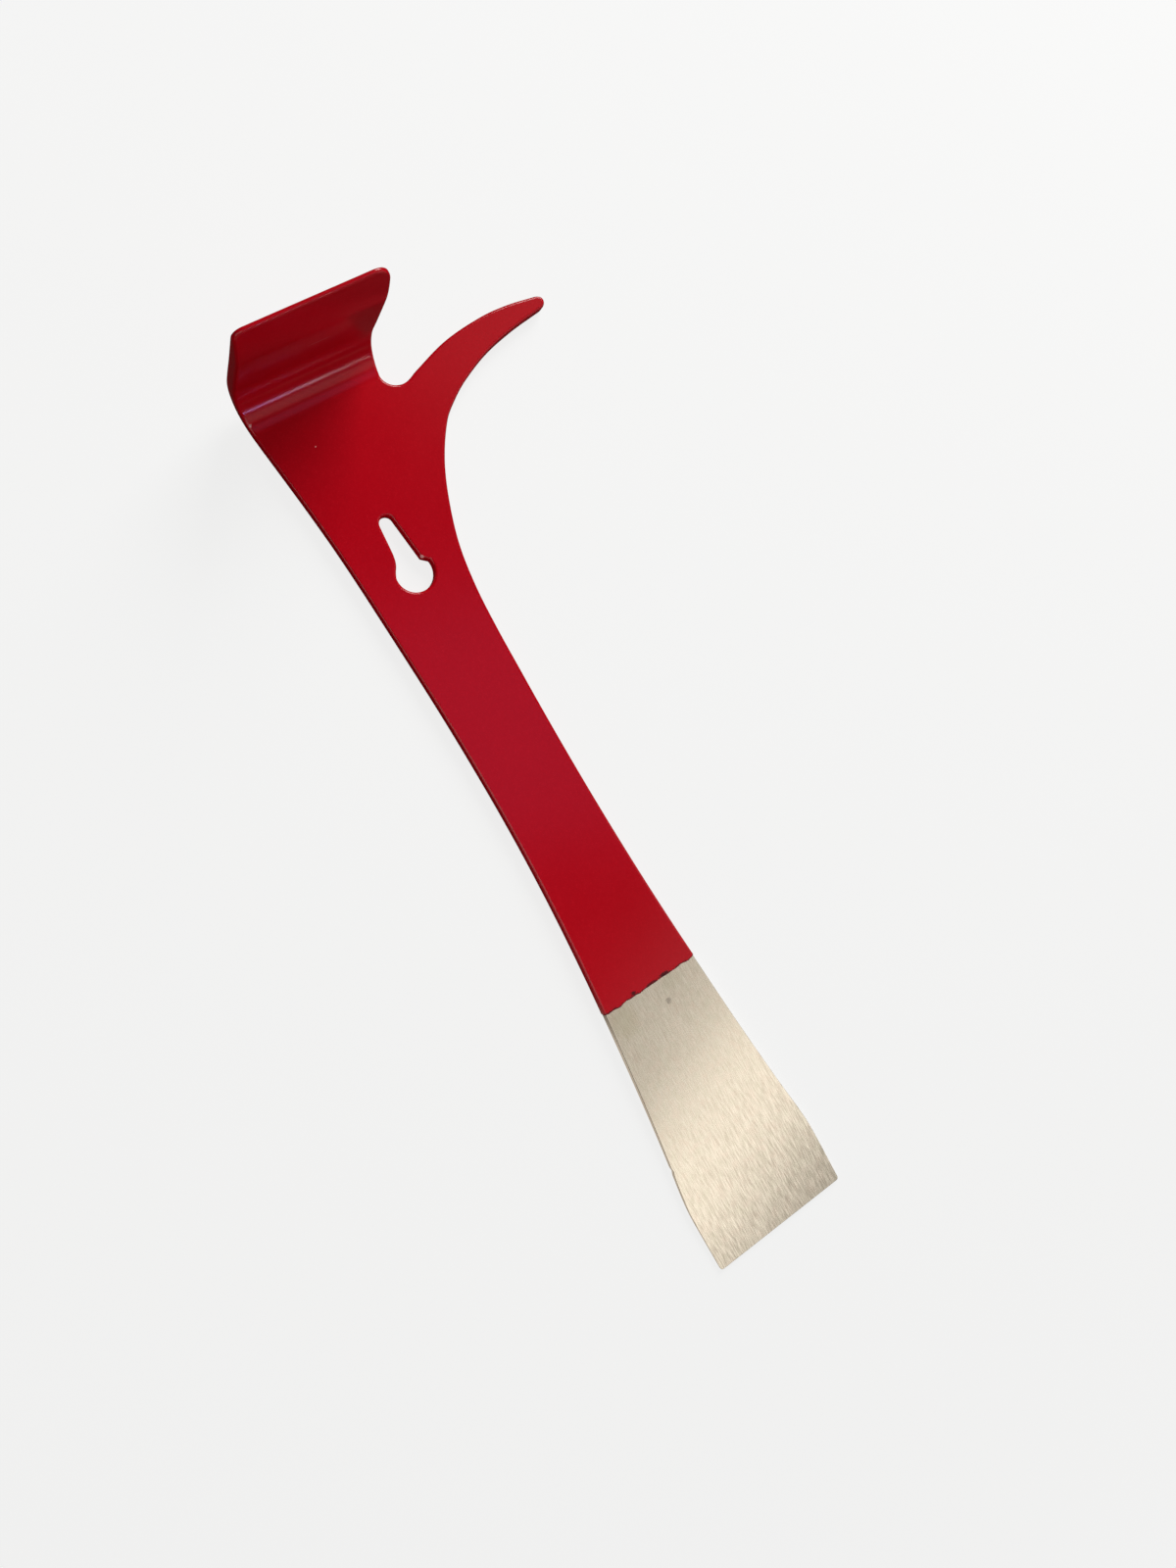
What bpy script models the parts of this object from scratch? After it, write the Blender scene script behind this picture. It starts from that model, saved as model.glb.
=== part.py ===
"""Hooked scraper and pry tool: one flat steel bar with a red coating over its grip, claw and hook.

Units are metres. The tool lies on its flat back. +Y runs along the bar towards the hook, +X towards
the side claw, and +Z is up, the way the hook is bent. The origin is on the resting plane, on the
bar's centreline, at the middle of the overall length.

The steel is drawn as a flat blank, cut through at a few stations, ground thinner at both ends and
then bent. The coating is a thin sleeve grown from the finished steel surface.
"""

import math

import bmesh
import bpy
from mathutils import Vector, geometry

MM = 0.001

# Driving dimensions of the whole tool.
OVERALL_LENGTH = 266.7 * MM
STOCK = 3.0 * MM
RIM_RADIUS = 0.5 * MM
CLEARANCE = 0.04 * MM
COAT = 0.21 * MM
LIFT = CLEARANCE + COAT

# Scraper blade.
BLADE_LENGTH = 81.0 * MM
BLADE_WIDTH = 43.0 * MM
BLADE_PARALLEL = 18.0 * MM
BLADE_CORNER = 0.9 * MM
BLADE_EDGE = 0.7 * MM
NECK_WIDTH = 29.7 * MM

# Grip.
GRIP_LEFT = 12.0 * MM
GRIP_RIGHT = 10.95 * MM

# Hook.
HOOK_ANGLE = math.radians(88.0)
HOOK_INNER_RADIUS = 9.55 * MM
HOOK_STRAIGHT = 26.7 * MM
HOOK_RIGHT = 19.4 * MM
HOOK_LEFT = 19.4 * MM
HOOK_ROOT_RIGHT = 16.0 * MM
HOOK_ROOT_LEFT = 19.9 * MM
HOOK_CORNER_RIGHT = 4.0 * MM
HOOK_CORNER_LEFT = 2.6 * MM
HOOK_GRIND = 12.5 * MM
HOOK_EDGE = 0.75 * MM

# Claw.
CLAW_REACH = 65.75 * MM
CLAW_TIP = 1.5 * MM
CLAW_LEAD = 0.75 * MM
NOTCH_X = 20.8 * MM
NOTCH_DEPTH = 3.5 * MM

# Keyhole for pulling nails: a round mouth, a slot with a round end, and one sharp corner between.
KEY_RADIUS = 5.32 * MM
KEY_CENTRE = (-0.78 * MM, 73.5 * MM)
KEY_END_RADIUS = 2.2 * MM
KEY_END = (-1.0 * MM, 87.4 * MM)
KEY_CORNER = (2.7 * MM, 76.1 * MM)
KEY_THROAT_LEFT = -3.6 * MM

# How finely round stretches are drawn.
TURN_STEP = math.radians(11.0)
LONG_STEP = 13.0 * MM
BEND_STEPS = 16
GRIND_STEPS = 5

# Stations along the bar that follow from the sizes above.
EDGE_Y = -OVERALL_LENGTH / 2
COAT_Y = EDGE_Y + BLADE_LENGTH
OUTER_RADIUS = HOOK_INNER_RADIUS + STOCK
MIDDLE_RADIUS = HOOK_INNER_RADIUS + STOCK / 2
HOOK_DEPTH = OUTER_RADIUS * math.sin(HOOK_ANGLE) + HOOK_STRAIGHT * math.cos(HOOK_ANGLE)
BEND_Y = OVERALL_LENGTH / 2 - LIFT - HOOK_DEPTH
BEND_LENGTH = MIDDLE_RADIUS * HOOK_ANGLE
BLANK_END_Y = BEND_Y + BEND_LENGTH + HOOK_STRAIGHT
CLAW_Y = BEND_Y + CLAW_LEAD

# Finishes: colour, roughness and metallic value.
STEEL = ((0.53, 0.49, 0.42, 1.0), 0.34, 1.0)
RED = ((0.39, 0.007, 0.014, 1.0), 0.36, 0.0)


def clear_scene():
    """Removes every object that the file holds."""
    for ob in list(bpy.data.objects):
        bpy.data.objects.remove(ob, do_unlink=True)


def material(name, look):
    """A Principled material from a colour, a roughness and a metallic value."""
    colour, roughness, metallic = look
    mat = bpy.data.materials.new(name)
    mat.use_nodes = True
    shader = mat.node_tree.nodes["Principled BSDF"]
    shader.inputs["Base Color"].default_value = colour
    shader.inputs["Roughness"].default_value = roughness
    shader.inputs["Metallic"].default_value = metallic
    mat.diffuse_color = colour
    return mat


def direction(heading):
    """The unit vector of a heading in degrees, counted from +X towards +Y."""
    angle = math.radians(heading)
    return Vector((math.cos(angle), math.sin(angle), 0.0))


def link(start, end):
    """Points from one knot towards the next, along a curve that keeps both headings.

    A knot is (x, y, heading). The handles have the length that makes an even turn a circular arc.
    """
    a = Vector((start[0], start[1], 0.0))
    b = Vector((end[0], end[1], 0.0))
    turn = abs(math.radians((end[2] - start[2] + 180.0) % 360.0 - 180.0))
    chord = (b - a).length
    handle = chord / (3.0 * math.cos(turn / 4.0) ** 2)
    steps = max(1, math.ceil(turn / TURN_STEP), math.ceil(chord / LONG_STEP))
    arrive = b - direction(end[2]) * handle
    leave = a + direction(start[2]) * handle
    return geometry.interpolate_bezier(a, leave, arrive, b, steps + 1)[:-1]


def path(knots):
    """Points along a run of knots, without the last one."""
    points = []
    for start, end in zip(knots, knots[1:]):
        points += link(start, end)
    return points


def blade_corner(side):
    """Knots round one corner of the cutting edge. side is 1 on the right and -1 on the left."""
    x = side * BLADE_WIDTH / 2
    along = (x - side * BLADE_CORNER, EDGE_Y, 0.0)
    up = (x, EDGE_Y + BLADE_CORNER, 90.0 if side > 0 else 270.0)
    return [along, up] if side > 0 else [up, along]


def right_edge():
    """Knots from the blade up the grip to where the claw leaves it."""
    return [
        (BLADE_WIDTH / 2, EDGE_Y + BLADE_PARALLEL, 90.0),
        (BLADE_WIDTH / 2 - 0.45 * MM, EDGE_Y + BLADE_PARALLEL + 6.0 * MM, 98.0),
        (NECK_WIDTH / 2, COAT_Y, 95.0),
        (GRIP_RIGHT, COAT_Y + 92.0 * MM, 90.0),
        (GRIP_RIGHT + 5.2 * MM, BEND_Y - 34.3 * MM, 68.0),
    ]


def claw():
    """Knots round the claw, from its lower edge over the tip and back to the notch."""
    return [
        (26.3 * MM, BEND_Y - 15.9 * MM, 47.0),
        (36.0 * MM, BEND_Y - 8.8 * MM, 30.0),
        (CLAW_REACH - 1.6 * MM, CLAW_Y - CLAW_TIP, 8.0),
        (CLAW_REACH, CLAW_Y + 0.1 * MM, 90.0),
        (CLAW_REACH - 1.8 * MM, CLAW_Y + CLAW_TIP, 170.0),
        (48.0 * MM, CLAW_Y + 2.55 * MM, 183.0),
        (25.1 * MM, BEND_Y - 2.1 * MM, 204.0),
        (NOTCH_X, BEND_Y - NOTCH_DEPTH, 180.0),
        (HOOK_ROOT_RIGHT - 0.1 * MM, BEND_Y + 1.0 * MM, 90.0),
    ]


def hook_end():
    """Knots round the end of the blank, from the right edge of the hook to its left one."""
    tip = BLANK_END_Y
    return [
        (HOOK_ROOT_RIGHT + 1.9 * MM, BEND_Y + BEND_LENGTH, 86.0),
        (HOOK_RIGHT, tip - HOOK_CORNER_RIGHT, 88.0),
        (HOOK_RIGHT - HOOK_CORNER_RIGHT, tip, 180.0),
        (HOOK_CORNER_LEFT - HOOK_LEFT, tip, 180.0),
        (-HOOK_LEFT, tip - HOOK_CORNER_LEFT, 270.0),
    ]


def left_edge():
    """Knots from the hook down the left side of the grip to the blade."""
    return [
        (-HOOK_ROOT_LEFT, BEND_Y + 8.0 * MM, 272.0),
        (-HOOK_ROOT_LEFT + 0.9 * MM, BEND_Y - 0.8 * MM, 277.0),
        (-15.4 * MM, BEND_Y - 32.0 * MM, 275.0),
        (-GRIP_LEFT - 1.4 * MM, COAT_Y + 108.0 * MM, 273.3),
        (-GRIP_LEFT, COAT_Y + 60.0 * MM, 270.0),
        (-NECK_WIDTH / 2, COAT_Y, 265.0),
        (0.45 * MM - BLADE_WIDTH / 2, EDGE_Y + BLADE_PARALLEL + 6.0 * MM, 262.0),
        (-BLADE_WIDTH / 2, EDGE_Y + BLADE_PARALLEL, 270.0),
    ]


def outline():
    """The outer edge of the flat blank, counter-clockwise from the cutting edge."""
    knots = blade_corner(1) + right_edge() + claw() + hook_end() + left_edge() + blade_corner(-1)
    return path(knots + knots[:1])


def on_circle(centre, radius, degrees):
    """The knot at an angle on a circle that is walked counter-clockwise."""
    reach = direction(degrees) * radius
    return (centre[0] + reach.x, centre[1] + reach.y, degrees + 90.0)


def keyhole():
    """The keyhole's edge, counter-clockwise from where a ledge leaves the round mouth."""
    ledge_start = on_circle(KEY_CENTRE, KEY_RADIUS, 13.0)
    ledge = [ledge_start[:2] + (150.0,), KEY_CORNER + (150.0,)]
    slot = [
        KEY_CORNER + (98.0,),
        on_circle(KEY_END, KEY_END_RADIUS, 4.0),
        on_circle(KEY_END, KEY_END_RADIUS, 90.0),
        on_circle(KEY_END, KEY_END_RADIUS, 178.0),
        (KEY_THROAT_LEFT, KEY_CENTRE[1] + 8.0 * MM, 268.0),
        (KEY_THROAT_LEFT - 0.75 * MM, KEY_CENTRE[1] + 3.9 * MM, 248.0),
    ]
    mouth = [on_circle(KEY_CENTRE, KEY_RADIUS, angle) for angle in (172.0, 240.0, 305.0, 373.0)]
    return path(ledge) + path(slot + mouth)


def add_loop(bm, points):
    """Adds a closed loop of edges through the points."""
    verts = [bm.verts.new(p) for p in points]
    return [bm.edges.new((v, verts[(i + 1) % len(verts)])) for i, v in enumerate(verts)]


def is_rim(edge):
    """True where a flat side of the plate meets its cut edge."""
    tilts = sorted(abs(f.normal.z) for f in edge.link_faces)
    return tilts[0] < 0.5 < tilts[1]


def flat_blank():
    """The blank as a flat plate with the keyhole cut out and its rims rounded."""
    bm = bmesh.new()
    edges = add_loop(bm, outline()) + add_loop(bm, keyhole())
    bmesh.ops.triangle_fill(bm, use_beauty=True, use_dissolve=False, edges=edges)
    grown = bmesh.ops.extrude_face_region(bm, geom=bm.faces[:])["geom"]
    raised = [g for g in grown if isinstance(g, bmesh.types.BMVert)]
    bmesh.ops.translate(bm, verts=raised, vec=(0.0, 0.0, STOCK))
    bmesh.ops.recalc_face_normals(bm, faces=bm.faces)
    rims = [e for e in bm.edges if is_rim(e)]
    bmesh.ops.bevel(bm, geom=rims, offset=RIM_RADIUS, segments=2, profile=0.5, affect="EDGES")
    return bm


def stations():
    """Where the blank is cut across, so that it can taper and bend there."""
    bend = [BEND_Y + BEND_LENGTH * i / BEND_STEPS for i in range(BEND_STEPS + 1)]
    grind = [BLANK_END_Y - HOOK_GRIND * i / GRIND_STEPS for i in range(1, GRIND_STEPS + 1)]
    return [COAT_Y] + bend + grind


def on_claw(x, y):
    """True for a point of the claw, which the notch parts from the hook."""
    return x > NOTCH_X - 0.01 * MM and y > BEND_Y - NOTCH_DEPTH - 0.01 * MM


def cut_across(bm, y, keep_above=False):
    """Cuts the bar along a plane across it, and can drop what lies below. The claw isn't cut."""
    faces = [f for f in bm.faces if not all(on_claw(v.co.x, v.co.y) for v in f.verts)]
    edges = {e for f in faces for e in f.edges}
    verts = {v for f in faces for v in f.verts}
    geom = list(verts) + list(edges) + faces
    plane = {"plane_co": (0.0, y, 0.0), "plane_no": (0.0, 1.0, 0.0)}
    bmesh.ops.bisect_plane(bm, geom=geom, dist=1e-7, clear_inner=keep_above, **plane)


def thickness(y):
    """The bar's thickness at a station of the blank."""
    if y < COAT_Y:
        return BLADE_EDGE + (STOCK - BLADE_EDGE) * (y - EDGE_Y) / BLADE_LENGTH
    from_tip = BLANK_END_Y - y
    if from_tip < HOOK_GRIND:
        share = math.sin(from_tip / HOOK_GRIND * math.pi / 2)
        return HOOK_EDGE + (STOCK - HOOK_EDGE) * share
    return STOCK


def bend(x, y, z):
    """Carries a point of the hook round its bend, about an axis above the bar. The claw stays flat."""
    along = y - BEND_Y
    if along <= 0.0 or on_claw(x, y):
        return y, z
    angle = min(along / MIDDLE_RADIUS, HOOK_ANGLE)
    rest = max(0.0, along - BEND_LENGTH)
    radius = OUTER_RADIUS - z
    new_y = BEND_Y + radius * math.sin(angle) + rest * math.cos(angle)
    new_z = OUTER_RADIUS - radius * math.cos(angle) + rest * math.sin(angle)
    return new_y, new_z


def steel_mesh():
    """The finished steel bar as a closed mesh."""
    bm = flat_blank()
    for y in stations():
        cut_across(bm, y)
    for v in bm.verts:
        ground = v.co.z * thickness(v.co.y) / STOCK
        v.co.y, v.co.z = bend(v.co.x, v.co.y, ground)
        v.co.z += LIFT
    bmesh.ops.triangulate(bm, faces=bm.faces[:])
    bmesh.ops.recalc_face_normals(bm, faces=bm.faces)
    return bm


def coating_skin():
    """The inner face of the coating: the steel's surface moved out by the clearance."""
    bm = steel_mesh()
    bm.normal_update()
    moves = [v.normal * (CLEARANCE * v.calc_shell_factor()) for v in bm.verts]
    for v, move in zip(bm.verts, moves):
        v.co += move
    cut_across(bm, COAT_Y + CLEARANCE, keep_above=True)
    bmesh.ops.triangulate(bm, faces=bm.faces[:])
    return bm


def add_object(name, bm, look):
    """Makes a named, smooth-shaded object from a bmesh, with its own material."""
    mesh = bpy.data.meshes.new(name)
    bm.to_mesh(mesh)
    bm.free()
    mesh.materials.append(material(name, look))
    mesh.shade_smooth()
    mesh.set_sharp_from_angle(angle=math.radians(35.0))
    ob = bpy.data.objects.new(name, mesh)
    bpy.context.scene.collection.objects.link(ob)
    return ob


def steel_bar():
    """The bar: scraper blade, grip, claw, keyhole and hook in one piece of steel."""
    return add_object("steel_bar", steel_mesh(), STEEL)


def red_coating():
    """The coating: a thin sleeve over all of the bar but its blade."""
    ob = add_object("red_coating", coating_skin(), RED)
    solid = ob.modifiers.new("Film", "SOLIDIFY")
    solid.thickness = COAT
    solid.offset = 1.0
    solid.use_even_offset = True
    solid.use_quality_normals = True
    return ob


clear_scene()
steel_bar()
red_coating()
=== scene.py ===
"""Looks for a one-piece hooked scraper tool: bare brushed blade, red coating on the rest.

Units are metres, in the CAD frame: +Y towards the hook, +X towards the side claw, +Z up. Both
visible pieces are drawn anew from the CAD steel: its cut edge is read as a flat outline, made
smooth, filled with a fine sheet, rounded at the rims and bent again.
"""

import math

import bmesh
import bpy
import numpy as np
from mathutils import Euler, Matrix, Vector, geometry, kdtree, noise


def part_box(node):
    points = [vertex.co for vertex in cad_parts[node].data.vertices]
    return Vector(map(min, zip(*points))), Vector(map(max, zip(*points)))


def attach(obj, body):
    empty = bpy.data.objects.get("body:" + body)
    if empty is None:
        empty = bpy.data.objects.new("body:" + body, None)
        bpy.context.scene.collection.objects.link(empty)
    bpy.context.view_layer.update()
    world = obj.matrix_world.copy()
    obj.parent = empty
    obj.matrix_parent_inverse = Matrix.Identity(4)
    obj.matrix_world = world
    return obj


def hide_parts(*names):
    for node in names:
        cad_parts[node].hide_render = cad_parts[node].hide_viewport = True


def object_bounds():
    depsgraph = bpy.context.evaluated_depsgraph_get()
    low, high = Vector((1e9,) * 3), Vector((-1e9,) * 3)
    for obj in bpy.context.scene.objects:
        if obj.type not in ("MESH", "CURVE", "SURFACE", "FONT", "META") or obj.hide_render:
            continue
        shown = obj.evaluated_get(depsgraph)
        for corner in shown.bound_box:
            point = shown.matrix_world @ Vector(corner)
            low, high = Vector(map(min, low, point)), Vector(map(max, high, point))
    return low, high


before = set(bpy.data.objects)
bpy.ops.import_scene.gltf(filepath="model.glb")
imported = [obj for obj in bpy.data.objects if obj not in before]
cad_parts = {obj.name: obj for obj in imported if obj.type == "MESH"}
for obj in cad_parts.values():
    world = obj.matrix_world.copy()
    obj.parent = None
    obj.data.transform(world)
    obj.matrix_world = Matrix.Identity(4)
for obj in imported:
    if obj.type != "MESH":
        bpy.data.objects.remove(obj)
cad_low, cad_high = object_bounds()

MM = 0.001

# Sizes that the steel is made to.
STOCK = 3.0 * MM
RIM = 0.5 * MM
BLADE_LENGTH = 81.0 * MM
BLADE_EDGE = 0.7 * MM
BLADE_RIM = 0.14 * MM
HOOK_ANGLE = math.radians(88.0)
HOOK_INNER_RADIUS = 9.55 * MM
HOOK_STRAIGHT = 26.7 * MM
HOOK_GRIND = 12.5 * MM
HOOK_EDGE = 0.75 * MM
CLAW_X = 20.75 * MM
CLAW_ROOT = 3.6 * MM

# A small nick in the blade's left edge.
NICK = np.array((-20.0, -100.6)) * MM
NICK_REACH = 1.6 * MM
NICK_DEPTH = 0.35 * MM

# Sizes that the coating is made to.
FILM = 0.21 * MM
LIP_RADIUS = 0.3 * MM
LIP_SHARE = 0.15
LIP_CUTS = (1.2 * MM, 0.6 * MM, 0.3 * MM, 0.15 * MM, 0.05 * MM, 0.0)
STRAY_REACH = 3.0 * MM
BROAD_STRAY, BROAD_WAVE = 0.45 * MM, 2.3 * MM
FINE_STRAY, FINE_WAVE = 0.3 * MM, 1.1 * MM
SIDE_SEED, FINE_SEED = 7.0, 5.0

# How finely the pieces are drawn, and what counts as the same, straight or sharp.
EDGE_STEP = 0.55 * MM
GRID_STEP = 1.1 * MM
GRID_CLEARANCE = 0.55 * GRID_STEP
ROW_STEP = GRID_STEP * math.sqrt(0.75)
RIM_STEPS = 5
GUARD = 0.3 * MM
FLAT_EDGE = 0.1 * MM
BEND_PROBE = 0.001 * MM
SLOPE_PROBE = 0.01 * MM
SAME_POINT = 0.001 * MM
SAME_SHARE = 0.01
STRAIGHT = 0.0004 * MM
MITRE_LIMIT = 0.7
TORN = 2.0
NEARLY = 0.99
CUT_TOLERANCE = 1e-8
FILL_TOLERANCE = 1e-12
BLADE_RIM_RUN_OUT = 1.5 * MM
CORNER = math.radians(24.0)
SHARP_EDGE = math.radians(34.0)
TRUE_NORMAL = "true_normal"

# Places that follow from the CAD steel.
steel_low, steel_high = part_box("steel_bar")
LIFT = steel_low.z
EDGE_Y = steel_low.y
COAT_Y = EDGE_Y + BLADE_LENGTH
OUTER_RADIUS = HOOK_INNER_RADIUS + STOCK
MIDDLE_RADIUS = HOOK_INNER_RADIUS + STOCK / 2
HOOK_BACK = HOOK_STRAIGHT - RIM
HOOK_DEPTH = OUTER_RADIUS * math.sin(HOOK_ANGLE) + HOOK_BACK * math.cos(HOOK_ANGLE)
BEND_Y = steel_high.y - HOOK_DEPTH
BEND_LENGTH = MIDDLE_RADIUS * HOOK_ANGLE
BLANK_END_Y = BEND_Y + BEND_LENGTH + HOOK_STRAIGHT


# The blank and its bend

def thickness(along):
    """The bar's thickness at stations along the flat blank."""
    blade = BLADE_EDGE + (STOCK - BLADE_EDGE) * (along - EDGE_Y) / BLADE_LENGTH
    from_tip = np.clip((BLANK_END_Y - along) / HOOK_GRIND, 0.0, 1.0)
    hook = HOOK_EDGE + (STOCK - HOOK_EDGE) * np.sin(from_tip * math.pi / 2)
    return np.where(along < COAT_Y, blade, hook)


def slope(along):
    """How fast the bar thickens along the flat blank."""
    rise = thickness(along + SLOPE_PROBE) - thickness(along - SLOPE_PROBE)
    return rise / (2 * SLOPE_PROBE)


def in_hook(x, along):
    """True for the points that the bend moves. The claw stays flat."""
    claw = (x > CLAW_X) & (along > BEND_Y - CLAW_ROOT)
    return (along > BEND_Y) & ~claw


def unbend(points):
    """Carries points of the finished steel back to the flat blank: across, along, height."""
    x, y, z = points.T
    dy = y - BEND_Y
    dz = z - LIFT - OUTER_RADIUS
    rest = dy * math.cos(HOOK_ANGLE) + dz * math.sin(HOOK_ANGLE)
    straight = rest > 0.0
    angle = np.where(straight, HOOK_ANGLE, np.arctan2(dy, -dz))
    reach = dy * math.sin(HOOK_ANGLE) - dz * math.cos(HOOK_ANGLE)
    radius = np.where(straight, reach, np.hypot(dy, dz))
    along = BEND_Y + MIDDLE_RADIUS * angle + np.maximum(rest, 0.0)
    hook = in_hook(x, y)
    flat = [x, np.where(hook, along, y), np.where(hook, OUTER_RADIUS - radius, z - LIFT)]
    return np.stack(flat, axis=1)


def bend(points):
    """Carries points of the flat blank to their places on the finished tool."""
    x, along, height = points.T
    past = along - BEND_Y
    angle = np.clip(past / MIDDLE_RADIUS, 0.0, HOOK_ANGLE)
    rest = np.maximum(past - BEND_LENGTH, 0.0)
    radius = OUTER_RADIUS - height
    y = BEND_Y + radius * np.sin(angle) + rest * math.cos(HOOK_ANGLE)
    z = OUTER_RADIUS - radius * np.cos(angle) + rest * math.sin(HOOK_ANGLE)
    hook = in_hook(x, along)
    placed = [x, np.where(hook, y, along), np.where(hook, z, height) + LIFT]
    return np.stack(placed, axis=1)


def bent(points, normals):
    """The directions that normals at points of the flat blank have on the finished tool.

    A normal that reaches over the border between the flat claw and the hook stays as it is.
    """
    turned = (bend(points + BEND_PROBE * normals) - bend(points)) / BEND_PROBE
    torn = np.linalg.norm(turned, axis=1, keepdims=True) > TORN
    return unit(np.where(torn, normals, turned))


# The outline, read from the CAD steel

def walk(neighbours):
    """Closed loops of indices from each one's two neighbours."""
    loops = []
    left = set(neighbours)
    while left:
        start = min(left)
        loop = [start]
        left.discard(start)
        step = neighbours[start][0]
        while step != start:
            loop.append(step)
            left.discard(step)
            a, b = neighbours[step]
            step = b if a == loop[-2] else a
        loops.append(loop)
    return loops


def area(loop):
    """The signed area of a closed loop, positive when it runs counter-clockwise."""
    x, y = loop.T
    return 0.5 * float(np.sum(x * np.roll(y, -1) - np.roll(x, -1) * y))


def cad_loops():
    """The blank's outer edge and its keyhole as flat loops, with the steel on their left."""
    bm = bmesh.new()
    bm.from_mesh(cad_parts["steel_bar"].data)
    bmesh.ops.remove_doubles(bm, verts=bm.verts, dist=SAME_POINT)
    bm.verts.ensure_lookup_table()
    flat = unbend(np.array([v.co for v in bm.verts]))
    share = flat[:, 2] / thickness(flat[:, 1])
    on_rim = np.abs(share - (1.0 - RIM / STOCK)) < SAME_SHARE
    neighbours = {}
    for e in bm.edges:
        a, b = (v.index for v in e.verts)
        if on_rim[a] and on_rim[b]:
            neighbours.setdefault(a, []).append(b)
            neighbours.setdefault(b, []).append(a)
    bm.free()
    loops = [flat[loop, :2] for loop in walk(neighbours)]
    loops.sort(key=lambda loop: -abs(area(loop)))
    outer, *holes = loops
    outer = outer if area(outer) > 0 else outer[::-1]
    return [outer] + [h if area(h) < 0 else h[::-1] for h in holes]


# Smooth curves through the outline

def trimmed(loop):
    """The loop without the points that lie on a straight run between their neighbours."""
    before = np.roll(loop, 1, axis=0)
    chord = np.roll(loop, -1, axis=0) - before
    reach = loop - before
    off_line = np.abs(chord[:, 0] * reach[:, 1] - chord[:, 1] * reach[:, 0])
    return loop[off_line > STRAIGHT * np.linalg.norm(chord, axis=1)]


def unit(vectors):
    """The vectors scaled to length one."""
    return vectors / np.linalg.norm(vectors, axis=-1, keepdims=True)


def curve_through(loop, step):
    """Closely spaced points on a smooth curve through a loop. Turns over CORNER stay sharp."""
    loop = trimmed(loop)
    count = len(loop)
    chords = np.roll(loop, -1, axis=0) - loop
    ways = unit(chords)
    lengths = np.linalg.norm(chords, axis=1)[:, None]
    arriving = np.roll(ways, 1, axis=0)
    arriving_length = np.roll(lengths, 1, axis=0)
    tangents = unit(arriving * arriving_length + ways * lengths)
    sharp = np.sum(arriving * ways, axis=1) < math.cos(CORNER)
    points = []
    for i in range(count):
        j = (i + 1) % count
        way, length = ways[i], lengths[i, 0]
        leave, arrive = tangents[i], tangents[j]
        if sharp[j]:
            arrive = way if sharp[i] else 2.0 * np.dot(leave, way) * way - leave
        if sharp[i]:
            leave = 2.0 * np.dot(arrive, way) * way - arrive
        steps = max(1, math.ceil(length / step))
        t = np.arange(steps)[:, None] / steps
        points.append(
            loop[i] * (1 + 2 * t) * (1 - t) ** 2
            + loop[j] * (3 - 2 * t) * t ** 2
            + leave * length * t * (1 - t) ** 2
            - arrive * length * t ** 2 * (1 - t)
        )
    return np.concatenate(points)


def inward(loop):
    """For each point of a loop, the direction into the steel, longer at corners as a mitre is."""
    ways = unit(np.roll(loop, -1, axis=0) - loop)
    left = np.stack([-ways[:, 1], ways[:, 0]], axis=1)
    before = np.roll(left, 1, axis=0)
    middle = unit(left + before)
    return middle / np.maximum(np.sum(middle * left, axis=1, keepdims=True), MITRE_LIMIT)


# A plate with rounded rims, filled with a fine sheet

def inside(points, loops):
    """True for the points that lie in the outer loop and in no hole."""
    odd = np.zeros(len(points), bool)
    px, py = points[:, 0, None], points[:, 1, None]
    for loop in loops:
        ax, ay = loop.T
        bx, by = np.roll(loop, -1, axis=0).T
        spans = (ay > py) != (by > py)
        rise = np.where(by == ay, 1.0, by - ay)
        crosses = spans & (px < ax + (py - ay) * (bx - ax) / rise)
        odd ^= (np.sum(crosses, axis=1) % 2).astype(bool)
    return odd


def grid_inside(loops, clear):
    """Staggered grid points inside the loops, at least clear away from them."""
    everything = np.concatenate(loops)
    low, high = everything.min(axis=0), everything.max(axis=0)
    rows = np.arange(low[1] + GRID_STEP / 2, high[1], ROW_STEP)
    columns = np.arange(low[0], high[0], GRID_STEP)
    shift = (np.arange(len(rows)) % 2) * GRID_STEP / 2
    x = columns[None, :] + shift[:, None]
    y = np.repeat(rows[:, None], len(columns), axis=1)
    grid = np.stack([x.ravel(), y.ravel()], axis=1)
    grid = grid[inside(grid, loops)]
    tree = kdtree.KDTree(len(everything))
    for i, point in enumerate(everything):
        tree.insert((point[0], point[1], 0.0), i)
    tree.balance()
    far = [tree.find((x, y, 0.0))[2] > clear for x, y in grid]
    return grid[far]


def filled(border_loops, guard):
    """Points and triangles of a fine flat sheet inside the loops."""
    grid = grid_inside(border_loops, GRID_CLEARANCE)
    points = np.concatenate(border_loops + [guard, grid])
    starts = np.cumsum([0] + [len(loop) for loop in border_loops])
    edges = []
    for first, end in zip(starts, starts[1:]):
        edges += [(i, i + 1) for i in range(first, end - 1)] + [(end - 1, first)]
    edges = [(int(a), int(b)) for a, b in edges]
    corners = [Vector(p) for p in points]
    found = geometry.delaunay_2d_cdt(corners, edges, [], 1, FILL_TOLERANCE, True)
    triangles = np.array(found[2])
    middles = points[triangles].mean(axis=1)
    return points, triangles[inside(middles, border_loops)], edges


def rounded(array):
    """The array at the precision that Blender's own vectors hold."""
    return array.astype(np.float32).astype(float)


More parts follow.
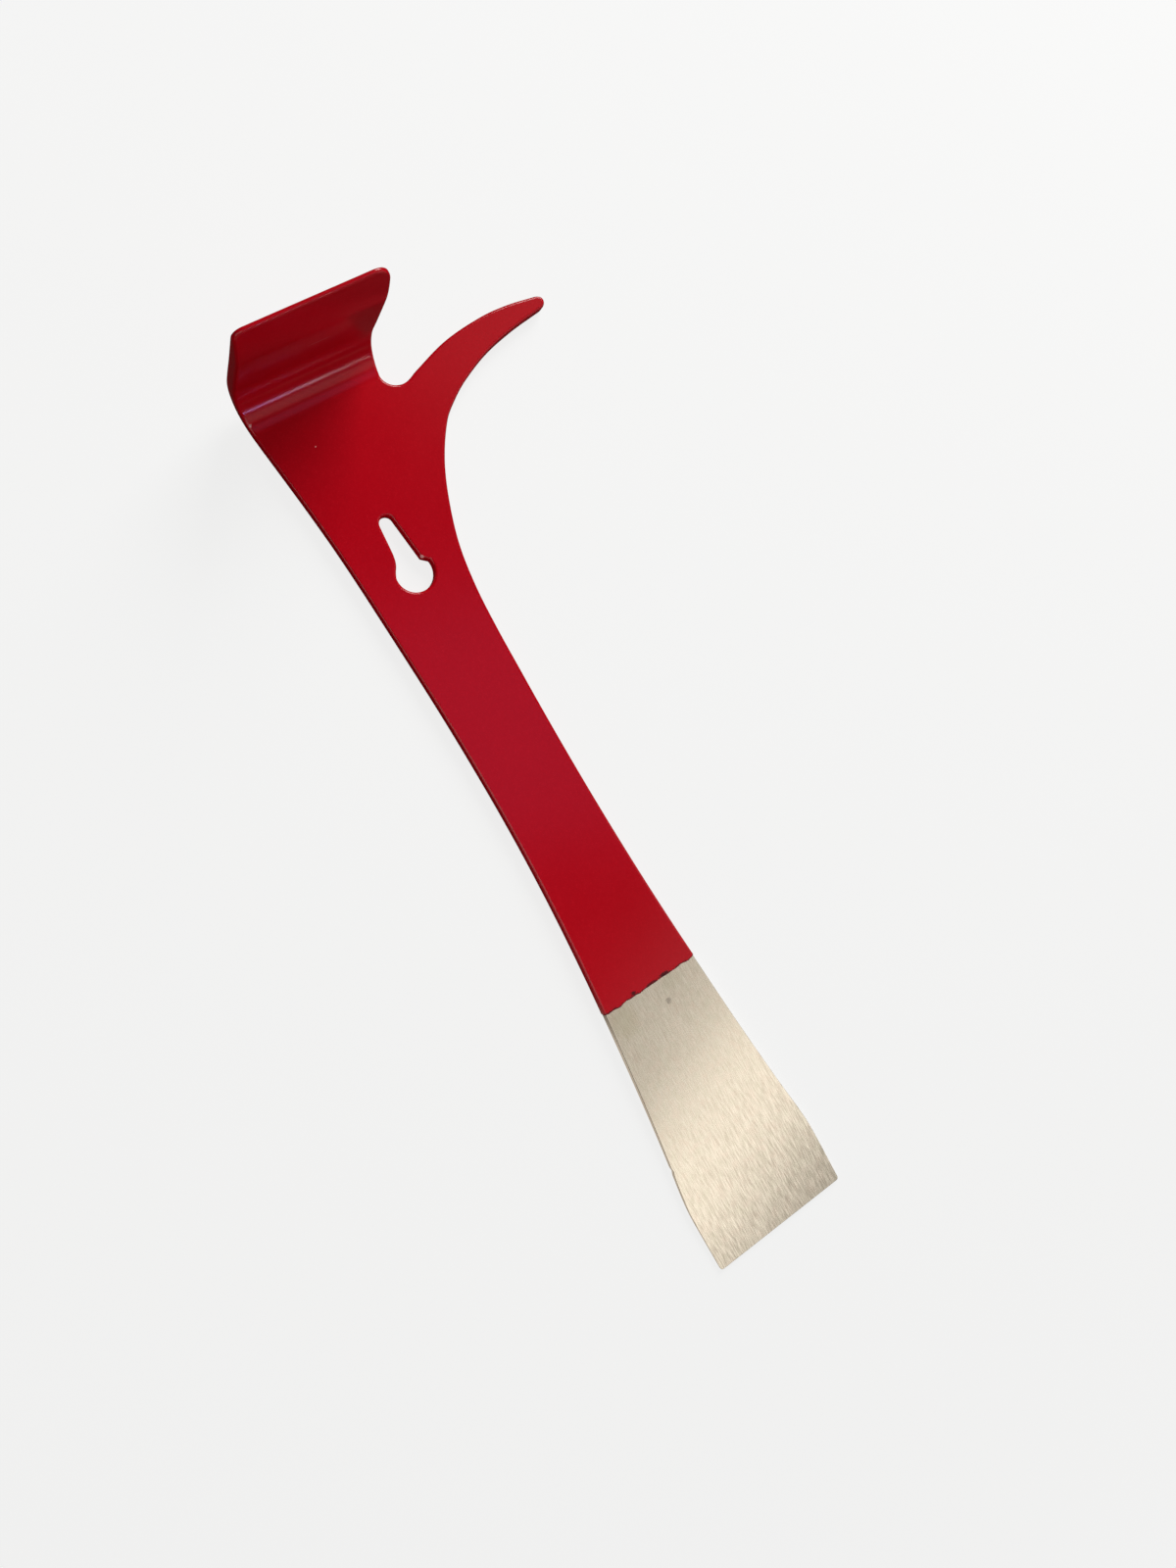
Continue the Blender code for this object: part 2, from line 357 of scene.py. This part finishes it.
def plate_normals(sheet, into, radius, fall, turns):
    """A plate's exact normals in the order of its points: top, rounded rim, underside."""
    flat = np.zeros(len(sheet))
    up = unit(np.stack([flat, -slope(sheet[:, 1]), flat + 1.0], axis=1))
    down = np.stack([flat, flat, flat - 1.0], axis=1)
    count = len(into)
    out = np.hstack([-unit(into), np.zeros((count, 1))])
    over = [unit(fall * math.sin(t) * out + radius * math.cos(t) * up[:count]) for t in turns]
    under = [unit(fall * math.sin(t) * out + radius * math.cos(t) * down[:count]) for t in turns]
    return np.concatenate([up] + over + under[::-1] + [down])


def plate(loops, rim, lift):
    """A flat plate as (points, normals, faces): the loops' shape, moved out by lift all round.

    rim gives the rounding radius at stations along the plate. Rings of points run from the top face
    round the cut edge to the underside, and both faces are filled with the same triangles.
    """
    edge = np.concatenate(loops)
    into = np.concatenate([inward(loop) for loop in loops])
    radius = (rim(edge[:, 1]) + lift)[:, None]
    thick = thickness(edge[:, 1])[:, None]
    ends = np.cumsum([len(loop) for loop in loops])[:-1]
    border = rounded(edge + into * (radius - lift))
    guard = rounded(edge + into * (radius - lift + GUARD))
    sheet, triangles, edges = filled(np.split(border, ends), guard)
    count = len(edge)

    turns = np.linspace(0.0, math.pi / 2, RIM_STEPS + 1)[1:]
    inset = [radius * (1.0 - math.sin(turn)) - lift for turn in turns]
    fall = np.minimum(radius, thick / 2 + lift - FLAT_EDGE / 2)
    drop = [fall * (1.0 - math.cos(turn)) for turn in turns]
    rings = [np.hstack([edge + into * a, thick + lift - b]) for a, b in zip(inset, drop)]
    rings += [np.hstack([edge + into * a, b - lift]) for a, b in zip(inset[::-1], drop[::-1])]
    top = np.hstack([sheet, thickness(sheet[:, 1])[:, None] + lift])
    bottom = np.hstack([sheet, np.full((len(sheet), 1), -lift)])
    points = np.concatenate([top] + rings + [bottom])

    normals = plate_normals(sheet, into, radius, fall, turns)
    base = len(sheet)
    firsts = [0] + [base + count * k for k in range(len(rings) + 1)]
    faces = [tuple(t) for t in triangles]
    faces += [tuple(t[::-1]) for t in triangles + firsts[-1]]
    for upper, lower in zip(firsts, firsts[1:]):
        faces += [(upper + b, upper + a, lower + a, lower + b) for a, b in edges]
    return points, normals, faces


# The two pieces

def steel_rim(along):
    """The steel's rim radius: crisp on the ground blade, softer under the coating."""
    share = np.clip((along - COAT_Y) / BLADE_RIM_RUN_OUT, 0.0, 1.0)
    return BLADE_RIM + (RIM - BLADE_RIM) * share


def coat_rim(along):
    """The rim radius under the coating."""
    return np.full(len(along), RIM)


def new_mesh(name, points, normals, faces):
    """A mesh from arrays of points and faces, which keeps the normals as an attribute."""
    mesh = bpy.data.meshes.new(name)
    mesh.from_pydata(points.tolist(), [], [[int(i) for i in face] for face in faces])
    kept = mesh.attributes.new(TRUE_NORMAL, "FLOAT_VECTOR", "POINT")
    kept.data.foreach_set("vector", normals.ravel())
    return mesh


def shade_exactly(mesh):
    """Shades a mesh by its kept normals, or by its own where the kept one has no length."""
    mesh.shade_smooth()
    mesh.set_sharp_from_angle(angle=SHARP_EDGE)
    kept = mesh.attributes[TRUE_NORMAL]
    normals = [tuple(item.vector) for item in kept.data]
    mesh.attributes.remove(kept)
    mesh.normals_split_custom_set_from_vertices(normals)


def add_piece(name, mesh, replaced, look):
    """Puts a mesh in the scene as a piece that stands for a CAD node."""
    shade_exactly(mesh)
    mesh.materials.append(look)
    piece = bpy.data.objects.new(name, mesh)
    bpy.context.scene.collection.objects.link(piece)
    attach(piece, "root")
    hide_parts(replaced)
    return piece


def place(bm):
    """Moves a bmesh from the flat blank to the finished tool."""
    kept = bm.verts.layers.float_vector[TRUE_NORMAL]
    flat = np.array([v.co for v in bm.verts], float)
    normals = np.array([v[kept] for v in bm.verts], float)
    for v, spot, normal in zip(bm.verts, bend(flat), bent(flat, unit(normals))):
        v.co = spot
        v[kept] = Vector(normal)


def ragged(x, side):
    """How far the coating's end strays along the blade at a place across it.

    side is 1 on the top face and -1 on the underside.
    """
    broad = noise.noise(Vector((x / BROAD_WAVE, side * SIDE_SEED, 0.0)))
    fine = noise.noise(Vector((x / FINE_WAVE, side * SIDE_SEED, FINE_SEED)))
    return BROAD_STRAY * broad + FINE_STRAY * fine


def nicked(loop):
    """The outline with a small nick in the blade's left edge."""
    share = np.clip(1.0 - np.linalg.norm(loop - NICK, axis=1) / NICK_REACH, 0.0, 1.0)
    return loop + inward(loop) * (NICK_DEPTH * share ** 2)[:, None]


def steel_mesh(loops):
    """The bar with its ground blade."""
    points, normals, faces = plate([nicked(loop) for loop in loops], steel_rim, 0.0)
    return new_mesh("bare_steel_bar", bend(points), bent(points, normals), faces)


def cut_lip(bm):
    """Cuts the coating off at the blade, after finer cuts that its lip is rounded with."""
    for cut in LIP_CUTS:
        bmesh.ops.bisect_plane(
            bm,
            geom=bm.verts[:] + bm.edges[:] + bm.faces[:],
            dist=CUT_TOLERANCE,
            plane_co=(0.0, COAT_Y + cut, 0.0),
            plane_no=(0.0, 1.0, 0.0),
            clear_inner=cut == 0.0,
        )


def shape_lip(bm, film, past_lip):
    """Thins the film towards its lip, and lets the lip stray along the blade."""
    bm.normal_update()
    moves = []
    for v in bm.verts:
        past = v.co.y - COAT_Y
        v[past_lip] = past
        share = min(past / LIP_RADIUS, 1.0)
        level = math.sqrt(max(0.0, 1.0 - (1.0 - share) ** 2))
        v[film] = LIP_SHARE + (1.0 - LIP_SHARE) * level
        sink = v.normal * (FILM * (v[film] - 1.0))
        sink.y = 0.0
        side = 1.0 if v.co.z > STOCK / 2 else -1.0
        stray = ragged(v.co.x, side) * max(0.0, 1.0 - past / STRAY_REACH) ** 2
        moves.append(sink + Vector((0.0, stray, 0.0)))
    for v, move in zip(bm.verts, moves):
        v.co += move


def close_film(bm, film, past_lip):
    """Adds the film's inner skin and joins it to the outer one at the lip.

    Only the outer skin past the lip's rounding keeps its exact normals.
    """
    bm.normal_update()
    outer = bm.verts[:]
    inner_places = [v.co - v.normal * (FILM * v[film]) for v in outer]
    kept = bm.verts.layers.float_vector[TRUE_NORMAL]
    for v in outer:
        if v[past_lip] < NEARLY * LIP_RADIUS:
            v[kept] = Vector()
    copied = bmesh.ops.duplicate(bm, geom=bm.faces[:])
    pairs = copied["vert_map"]
    inner_faces = [g for g in copied["geom"] if isinstance(g, bmesh.types.BMFace)]
    for v, spot in zip(outer, inner_places):
        pairs[v].co = spot
        pairs[v][kept] = Vector()
    bmesh.ops.reverse_faces(bm, faces=inner_faces)
    lip = [e for e in bm.edges if e.is_boundary]
    bmesh.ops.bridge_loops(bm, edges=lip)


def coating_mesh(loops):
    """The coating: a closed film over the bar, with a ragged and rounded lip at the blade."""
    points, normals, faces = plate(loops, coat_rim, LIFT)
    mesh = new_mesh("red_coating_film", points, normals, faces)
    bm = bmesh.new()
    bm.from_mesh(mesh)
    cut_lip(bm)
    film = bm.verts.layers.float.new("film")
    past_lip = bm.verts.layers.float.new("past_lip")
    shape_lip(bm, film, past_lip)
    place(bm)
    close_film(bm, film, past_lip)
    bm.to_mesh(mesh)
    bm.free()
    return mesh


# Marks on the paint and the steel, with painted highlights and shade among them: a centre and radii
# in millimetres, a strength and a colour

# Where the two painted highlight streaks in the hook lie, in millimetres.
HOOK_STREAK_RADIUS = HOOK_INNER_RADIUS / MM
HOOK_STREAK_TURN = math.radians(64.0)
HOOK_STREAK_Y = BEND_Y / MM + HOOK_STREAK_RADIUS * math.sin(HOOK_STREAK_TURN)
HOOK_STREAK_Z = (LIFT + OUTER_RADIUS) / MM - HOOK_STREAK_RADIUS * math.cos(HOOK_STREAK_TURN)
INNER_FACE_Y = BEND_Y / MM + HOOK_STREAK_RADIUS
PINK = (0.85, 0.42, 0.40, 1.0)
DULL_PINK = (0.55, 0.10, 0.10, 1.0)
DARK = (0.05, 0.004, 0.005, 1.0)
GREY_BROWN = (0.30, 0.27, 0.25, 1.0)
YELLOWISH = (0.50, 0.47, 0.26, 1.0)
GREY_GREEN = (0.50, 0.50, 0.36, 1.0)
BRIGHT = (1.0, 1.0, 1.0, 1.0)
COAT_MARKS_AND_PAINTED_LIGHT = (
    # A chip at the keyhole's corner, a small pink spot on the bend's left edge, and a speck between
    # them.
    ((2.5, 76.1, 3.3), (0.8, 0.6, 0.8), 0.9, PINK),
    ((-19.1, 122.5, 3.7), (0.5, 0.5, 0.6), 0.9, PINK),
    ((-7.4, 111.6, 3.4), (0.3, 0.25, 0.4), 0.8, PINK),
    # Painted highlights: two faint pale streaks in the hook, one across the bend and one higher on
    # its inner face.
    ((6.5, HOOK_STREAK_Y, HOOK_STREAK_Z), (5.5, 0.22, 0.22), 0.7, DULL_PINK),
    ((2.0, INNER_FACE_Y, 20.5), (3.6, 0.7, 0.2), 0.5, DULL_PINK),
    # Dark spots along the lip, where the film steps down to the bare blade.
    ((4.8, -51.8, 3.3), (2.2, 0.8, 0.7), 0.95, DARK),
    ((-5.2, -51.4, 3.3), (1.0, 0.7, 0.7), 0.9, DARK),
    ((0.6, -51.9, 3.3), (2.4, 0.5, 0.7), 0.8, DARK),
)
# Stains on the bare steel, and one painted glint.
STEEL_STAINS_AND_GLINT = (
    ((2.5, -58.9, 3.0), (0.9, 1.2, 0.9), 0.55, GREY_BROWN),
    ((-11.0, -56.5, 3.0), (5.0, 6.0, 4.0), 0.20, YELLOWISH),
    ((6.0, -54.5, 3.0), (4.4, 2.8, 3.0), 0.18, GREY_GREEN),
    # A painted glint: a tiny white spot on the blade.
    ((-0.9, -84.1, 2.0), (0.3, 0.55, 0.5), 0.9, BRIGHT),
)


# Materials. Names that end in CELLS give how many cells of a pattern go to a metre.

PATCH_CELLS = 2600.0

DARK_STEEL = (0.64, 0.59, 0.52, 1.0)
LIGHT_STEEL = (0.96, 0.92, 0.85, 1.0)
GREEN_CAST = (0.62, 0.68, 0.52, 1.0)
PINK_CAST = (0.95, 0.72, 0.66, 1.0)
HAIR_CELLS = 6200.0
STROKE_CELLS = 3000.0
STROKE_DEPTH = 0.008 * MM
STROKE_LEAN = 0.05
TINT_CELLS = 420.0
TINT_SHARE = 0.10

DEEP_RED = (0.44, 0.0010, 0.0065, 1.0)
FULL_RED = (0.50, 0.0016, 0.0090, 1.0)
DULL_RED = (0.36, 0.0010, 0.0060, 1.0)
LIGHT_RED = (0.62, 0.010, 0.020, 1.0)
# Darker red at the coating's lip: grime, and painted shade of the step where the film ends.
LIP_GRIME_AND_SHADE = (0.075, 0.006, 0.008, 1.0)
LIP_DARK_BAND_LOW = 0.2 * MM
LIP_DARK_BAND_HIGH = 0.9 * MM
PEEL_CELLS = 1500.0
PEEL_DEPTH = 0.012 * MM
MOTTLE_CELLS = 900.0
SPECKLE_CELLS = 3600.0


class Graph:
    """A node tree that is filled and joined up by short calls."""

    def __init__(self, tree):
        self.tree = tree
        self.tree.nodes.clear()

    def add(self, kind, inputs=None, **settings):
        """Adds a node, sets its properties and feeds its inputs with values or sockets."""
        made = self.tree.nodes.new("ShaderNode" + kind)
        for key, value in settings.items():
            setattr(made, key, value)
        for key, value in (inputs or {}).items():
            if isinstance(value, bpy.types.NodeSocket):
                self.tree.links.new(value, made.inputs[key])
            else:
                made.inputs[key].default_value = value
        return made

    def math(self, operation, *values, clamp=False):
        """The result of a Math node."""
        inputs = dict(enumerate(values))
        return self.add("Math", inputs, operation=operation, use_clamp=clamp).outputs[0]

    def vector(self, operation, *values):
        """The result of a Vector Math node."""
        made = self.add("VectorMath", dict(enumerate(values)), operation=operation)
        return made.outputs["Value" if operation in ("LENGTH", "DISTANCE") else "Vector"]

    def noise(self, where, scale, detail=2.0, roughness=0.5, seed=0.0):
        """Noise from 0 to 1 over a vector. scale is the number of cells to a unit."""
        inputs = {
            "Vector": where, "Scale": scale, "Detail": detail, "Roughness": roughness, "W": seed,
        }
        return self.add("TexNoise", inputs, noise_dimensions="4D").outputs[0]

    def ramp(self, value, low, high, start=0.0, end=1.0, shape="SMOOTHSTEP"):
        """Carries value from low..high to start..end, held at both ends."""
        inputs = {"Value": value, "From Min": low, "From Max": high, "To Min": start, "To Max": end}
        made = self.add("MapRange", inputs, interpolation_type=shape, clamp=True)
        return made.outputs["Result"]

    def mix(self, share, first, second):
        """A colour between two colours."""
        made = self.add("Mix", None, data_type="RGBA")
        for key, value in (("Factor", share), ("A", first), ("B", second)):
            socket = [s for s in made.inputs if s.name == key and s.enabled][0]
            if isinstance(value, bpy.types.NodeSocket):
                self.tree.links.new(value, socket)
            else:
                socket.default_value = value
        return [s for s in made.outputs if s.enabled][0]

    def patch(self, where, centre, radii):
        """A mask that is 1 at the middle of an ellipsoid and fades to 0 at its uneven surface.

        centre and radii are in millimetres.
        """
        away = self.vector("SUBTRACT", where, tuple(c * MM for c in centre))
        scaled = self.vector("DIVIDE", away, tuple(r * MM for r in radii))
        gap = self.vector("LENGTH", scaled)
        uneven = self.noise(where, PATCH_CELLS, detail=1.0, seed=11.0)
        gap = self.math("MULTIPLY_ADD", self.math("SUBTRACT", uneven, 0.5), 1.2, gap)
        return self.ramp(gap, 0.55, 1.0, 1.0, 0.0)

    def marked(self, colour, where, marks):
        """The colour with the listed marks on it: marks of use, and painted highlights and shade."""
        for centre, radii, strength, mark in marks:
            share = self.math("MULTIPLY", self.patch(where, centre, radii), strength)
            colour = self.mix(share, colour, mark)
        return colour


def new_material(name):
    """An empty material and its graph, the place in the frame and the output node."""
    made = bpy.data.materials.new(name)
    made.use_nodes = True
    graph = Graph(made.node_tree)
    where = graph.add("TexCoord").outputs["Object"]
    return made, graph, where


def finish_material(graph, shader):
    """Joins the shader to the output."""
    graph.add("OutputMaterial", {"Surface": shader.outputs[0]})


def along_blade(graph, where, stretch):
    """The place with its run along the blade slowed down, so that noise over it is drawn out."""
    return graph.vector("MULTIPLY", where, (1.0, stretch, 1.0))


def steel_colour(graph, where, lines, cloud):
    """Steel between a darker and a lighter tone, with a faint green or pink cast in places, a few
    stains and a painted glint.
    """
    tone = graph.ramp(lines, 0.39, 0.61, 0.0, 1.0, "LINEAR")
    tone = graph.math("ADD", graph.math("MULTIPLY", tone, 0.7), graph.math("MULTIPLY", cloud, 0.3))
    colour = graph.mix(tone, DARK_STEEL, LIGHT_STEEL)
    tint = graph.noise(where, TINT_CELLS, seed=13.0)
    colour = graph.mix(graph.ramp(tint, 0.35, 0.5, TINT_SHARE, 0.0), colour, GREEN_CAST)
    colour = graph.mix(graph.ramp(tint, 0.5, 0.65, 0.0, TINT_SHARE), colour, PINK_CAST)
    return graph.marked(colour, where, STEEL_STAINS_AND_GLINT)


def brushed_steel():
    """Bare steel, ground lengthwise with a belt that leaves short strokes."""
    made, graph, where = new_material("brushed_steel")
    fine = graph.noise(along_blade(graph, where, 0.06), HAIR_CELLS, roughness=0.6)
    dashes = graph.noise(along_blade(graph, where, 0.085), STROKE_CELLS, seed=3.0)
    cloud = graph.noise(along_blade(graph, where, 0.5), 160.0, 3.0, 0.55, 7.0)
    lines = graph.math("ADD", graph.math("MULTIPLY", fine, 0.4), graph.math("MULTIPLY", dashes, 0.6))

    tilt = graph.math("MULTIPLY", graph.math("SUBTRACT", dashes, 0.5), STROKE_LEAN)
    lean = graph.add("CombineXYZ", {"Y": tilt}).outputs[0]
    facing = graph.add("NewGeometry").outputs["Normal"]
    stroked = graph.vector("NORMALIZE", graph.vector("ADD", facing, lean))
    bump = graph.add("Bump", {
        "Strength": 0.3, "Distance": STROKE_DEPTH, "Height": lines, "Normal": stroked,
    })
    lengthwise = graph.add(
        "VectorTransform",
        {"Vector": (0.0, 1.0, 0.0)},
        vector_type="VECTOR", convert_from="OBJECT", convert_to="WORLD",
    ).outputs[0]
    shader = graph.add("BsdfPrincipled", {
        "Base Color": steel_colour(graph, where, lines, cloud),
        "Metallic": 1.0,
        "Roughness": graph.math("MULTIPLY_ADD", cloud, 0.04, 0.14),
        "Anisotropic": 0.9,
        "Tangent": graph.vector("CROSS_PRODUCT", lengthwise, facing),
        "Normal": bump.outputs[0],
    })
    finish_material(graph, shader)
    return made


def grime_and_shade_at_lip(graph, where):
    """A mask over the coating's uneven lip: grime, and painted shade where the film steps down to
    the bare blade.
    """
    past_lip = graph.add("Attribute", attribute_name="past_lip").outputs["Fac"]
    lip_noise = graph.noise(where, 1300.0, roughness=0.6, seed=8.0)
    width = graph.ramp(lip_noise, 0.35, 0.65, LIP_DARK_BAND_LOW, LIP_DARK_BAND_HIGH)
    return graph.ramp(graph.math("DIVIDE", past_lip, width), 0.4, 1.0, 0.85, 0.0)


def red_paint():
    """Semi-gloss red coating: grime and painted shade at its lip, a chip, a pink spot and a speck,
    and two painted highlight streaks in the hook.
    """
    made, graph, where = new_material("red_paint")
    peel = graph.noise(where, PEEL_CELLS)
    mottle = graph.noise(where, MOTTLE_CELLS, roughness=0.6, seed=6.0)
    speckle = graph.noise(where, SPECKLE_CELLS, roughness=0.6, seed=4.0)
    cloud = graph.noise(where, 55.0, 3.0, 0.55, 9.0)
    red = graph.mix(cloud, DEEP_RED, FULL_RED)
    red = graph.mix(graph.ramp(mottle, 0.35, 0.65, 0.0, 0.16), red, DULL_RED)
    red = graph.mix(graph.ramp(speckle, 0.52, 0.72, 0.0, 0.5), red, LIGHT_RED)
    # Darkens the lip: grime, and painted shade of the film's step.
    red = graph.mix(grime_and_shade_at_lip(graph, where), red, LIP_GRIME_AND_SHADE)
    bump = graph.add("Bump", {"Strength": 0.3, "Distance": PEEL_DEPTH, "Height": peel})
    shader = graph.add("BsdfPrincipled", {
        "Base Color": graph.marked(red, where, COAT_MARKS_AND_PAINTED_LIGHT),
        "Roughness": graph.math("MULTIPLY_ADD", cloud, 0.05, 0.155),
        "IOR": 1.38,
        "Normal": bump.outputs[0],
    })
    finish_material(graph, shader)
    return made


# The studio

BLADE_BAND = (0.0, COAT_Y - 35.0 * MM, 0.0)
HEAD = (0.0, BEND_Y, 0.0)
MIDDLE = (0.0, 0.0, 0.0)
GRIP = (0.0, 30.0 * MM, 0.0)
LOW_GRIP = (0.0, -30.0 * MM, 0.0)
CLAW = (30.0 * MM, 115.0 * MM, 0.0)

WHITE = (1.0, 1.0, 1.0)
WARM = (1.0, 0.925, 0.80)
ROSE = (1.0, 0.88, 0.92)
BLUSH = (1.0, 0.9, 0.9)
PEACH = (1.0, 0.9, 0.88)
VIOLET = (0.6, 0.5, 1.0)
DEEP_VIOLET = (0.5, 0.38, 1.0)

PALE = (0.97, 0.97, 0.965, 1.0)
ROOM = (1.0, 0.97, 0.93, 1.0)
ROOM_STRENGTH = 0.02
FLOOR_SEEN = (0.92, 0.92, 0.91, 1.0)
FLOOR_BY_BLADE = (0.70, 0.66, 0.62, 1.0)
FLOOR_BY_HEAD = (0.03, 0.028, 0.026, 1.0)
FLOOR_IN_STEEL = (0.55, 0.48, 0.40, 1.0)
FLOOR_HALF = 6.0
FLOOR_GAP = 0.02 * MM
NEAR_GLOW, NEAR = 0.86, 0.2
FULL_GLOW, FAR = 1.0, 0.8

CAMERA_PLACE = (-76.11 * MM, 52.31 * MM, 300.02 * MM)
CAMERA_TURN = (0.474, -18.745, -30.293)
CAMERA_LENS = 27.0
CAMERA_SENSOR = 36.0


def pale_floor():
    """A wide, plain, pale floor just under the tool.

    The camera sees it pale. The tool gets little light back from it, and more by the blade than
    by the head. It can't be seen from below.
    """
    made, graph, where = new_material("pale_floor")
    rays = graph.add("LightPath").outputs
    seen = rays["Is Camera Ray"]
    along = graph.add("SeparateXYZ", {0: where}).outputs["Y"]
    bounce = graph.ramp(along, -60.0 * MM, 60.0 * MM, 0.0, 1.0)
    bounce = graph.mix(bounce, FLOOR_BY_BLADE, FLOOR_BY_HEAD)
    matt = graph.add("BsdfDiffuse", {"Color": graph.mix(seen, bounce, FLOOR_SEEN)})
    glow = graph.add("Emission", {"Color": graph.mix(seen, FLOOR_IN_STEEL, PALE)})
    away = graph.vector("LENGTH", where)
    share = graph.math("MULTIPLY", seen, graph.ramp(away, NEAR, FAR, NEAR_GLOW, FULL_GLOW))
    by_blade = graph.ramp(along, -65.0 * MM, -45.0 * MM, 1.0, 0.0)
    mirrored = graph.math("MULTIPLY", rays["Is Glossy Ray"], by_blade)
    share = graph.math("MAXIMUM", share, mirrored)
    top = graph.add("MixShader", {0: share, 1: matt.outputs[0], 2: glow.outputs[0]})
    below = graph.add("NewGeometry").outputs["Backfacing"]
    clear = graph.add("BsdfTransparent")
    shader = graph.add("MixShader", {0: below, 1: top.outputs[0], 2: clear.outputs[0]})
    finish_material(graph, shader)
    mesh = bpy.data.meshes.new("floor")
    z = cad_low.z - FLOOR_GAP
    signs = ((-1, -1), (1, -1), (1, 1), (-1, 1))
    corners = [(x * FLOOR_HALF, y * FLOOR_HALF, z) for x, y in signs]
    mesh.from_pydata(corners, [], [(0, 1, 2, 3)])
    mesh.materials.append(made)
    floor = bpy.data.objects.new("floor", mesh)
    floor.visible_shadow = False
    bpy.context.scene.collection.objects.link(floor)


def softbox(name, aim, way, distance, size, radiance, colour=WHITE, only=None):
    """A rectangular area light that at a distance from its aim, in the direction way.

    distance and size are in metres, and radiance is how bright the panel itself would look.
    A light with only set lights that piece and nothing else.
    """
    light = bpy.data.lights.new(name, "AREA")
    light.shape = "RECTANGLE"
    light.size, light.size_y = size
    light.energy = radiance * math.pi * size[0] * size[1]
    light.color = colour
    lamp = bpy.data.objects.new(name, light)
    way = Vector(way).normalized()
    lamp.location = Vector(aim) + way * distance
    lamp.rotation_mode = "QUATERNION"
    lamp.rotation_quaternion = way.to_track_quat("Z", "Y")
    bpy.context.scene.collection.objects.link(lamp)
    if only:
        lit = bpy.data.collections.new(name + "_lights")
        lit.objects.link(only)
        lamp.light_linking.receiver_collection = lit


def surroundings():
    """A dim room for reflections behind a pale backdrop that only the camera sees."""
    world = bpy.data.worlds.new("studio")
    world.use_nodes = True
    graph = Graph(world.node_tree)
    seen = graph.add("LightPath").outputs["Is Camera Ray"]
    room = graph.add("Background", {"Color": ROOM, "Strength": ROOM_STRENGTH})
    backdrop = graph.add("Background", {"Color": PALE, "Strength": 1.0})
    both = graph.add("MixShader", {0: seen, 1: room.outputs[0], 2: backdrop.outputs[0]})
    graph.add("OutputWorld", {"Surface": both.outputs[0]})
    bpy.context.scene.world = world


def steel_lights(steel):
    """Lights for the steel alone: what the blade mirrors, from above, behind and all round."""
    softbox("blade_panel", BLADE_BAND, (0.225, -0.4615, 0.858), 0.9, (1.3, 0.36), 0.59, WARM, steel)
    softbox("blade_streak", BLADE_BAND, (0.225, -0.50, 0.84), 0.9, (1.0, 0.12), 0.64, WARM, steel)
    ways = [(-0.1, -0.02, 1.0), (0.0, 0.8, 0.6)]
    turns = [k * math.pi / 4 for k in range(8)]
    ways += [(math.sin(turn), math.cos(turn), 0.33) for turn in turns]
    for way in ways:
        softbox("steel_room", MIDDLE, way, 1.0, (0.6, 0.6), 0.5, WARM, steel)


def coat_lights(coat):
    """Lights for the coating alone: its sheen, the line along the bend and the softer fills."""
    softbox("front_panel", BLADE_BAND, (0.225, -0.475, 0.85), 0.9, (1.3, 0.36), 0.70, ROSE, coat)
    softbox("claw_panel", CLAW, (0.47, 0.20, 0.86), 1.0, (0.26, 0.34), 0.42, BLUSH, coat)
    softbox("low_window", HEAD, (0.26, -0.86, 0.47), 1.0, (0.09, 0.018), 34.0, PEACH, coat)
    softbox("blue_window", HEAD, (0.185, -0.86, 0.47), 1.0, (0.05, 0.045), 34.0, DEEP_VIOLET, coat)
    softbox("overhead", LOW_GRIP, (-0.4, -0.15, 0.9), 0.3, (0.2, 0.2), 1.4, WHITE, coat)
    softbox("violet_panel", GRIP, (0.28, -0.08, 0.955), 1.0, (0.30, 0.36), 0.50, VIOLET, coat)
    softbox("left_fill", LOW_GRIP, (-0.80, 0.02, 0.55), 0.5, (0.31, 0.25), 1.7, WHITE, coat)


def room_lights():
    """Lights for everything: a key, a fill and two from below."""
    softbox("key", MIDDLE, (0.6, 0.56, 0.46), 1.0, (0.5, 0.5), 11.3)
    softbox("fill", MIDDLE, (0.8, -0.5, 0.4), 1.2, (0.9, 0.6), 0.8)
    for way in ((0.5, -0.4, -0.75), (-0.3, 0.75, -0.55)):
        softbox("under", MIDDLE, way, 1.0, (0.8, 0.8), 1.2)


def camera():
    """The camera, close above the grip and looking down at the whole tool."""
    lens = bpy.data.cameras.new("camera")
    lens.lens = CAMERA_LENS
    lens.sensor_width = CAMERA_SENSOR
    lens.clip_start = 0.01
    ob = bpy.data.objects.new("camera", lens)
    ob.location = CAMERA_PLACE
    ob.rotation_euler = Euler([math.radians(angle) for angle in CAMERA_TURN])
    bpy.context.scene.collection.objects.link(ob)
    bpy.context.scene.camera = ob


# The scene

outlines = [curve_through(loop, EDGE_STEP) for loop in cad_loops()]
steel = add_piece(
    "steel_bar_ground", steel_mesh(outlines), "steel_bar", brushed_steel()
)
coat = add_piece(
    "red_coating_film", coating_mesh(outlines), "red_coating", red_paint()
)
pale_floor()
surroundings()
steel_lights(steel)
coat_lights(coat)
room_lights()
camera()
bpy.context.scene.view_settings.view_transform = "Standard"
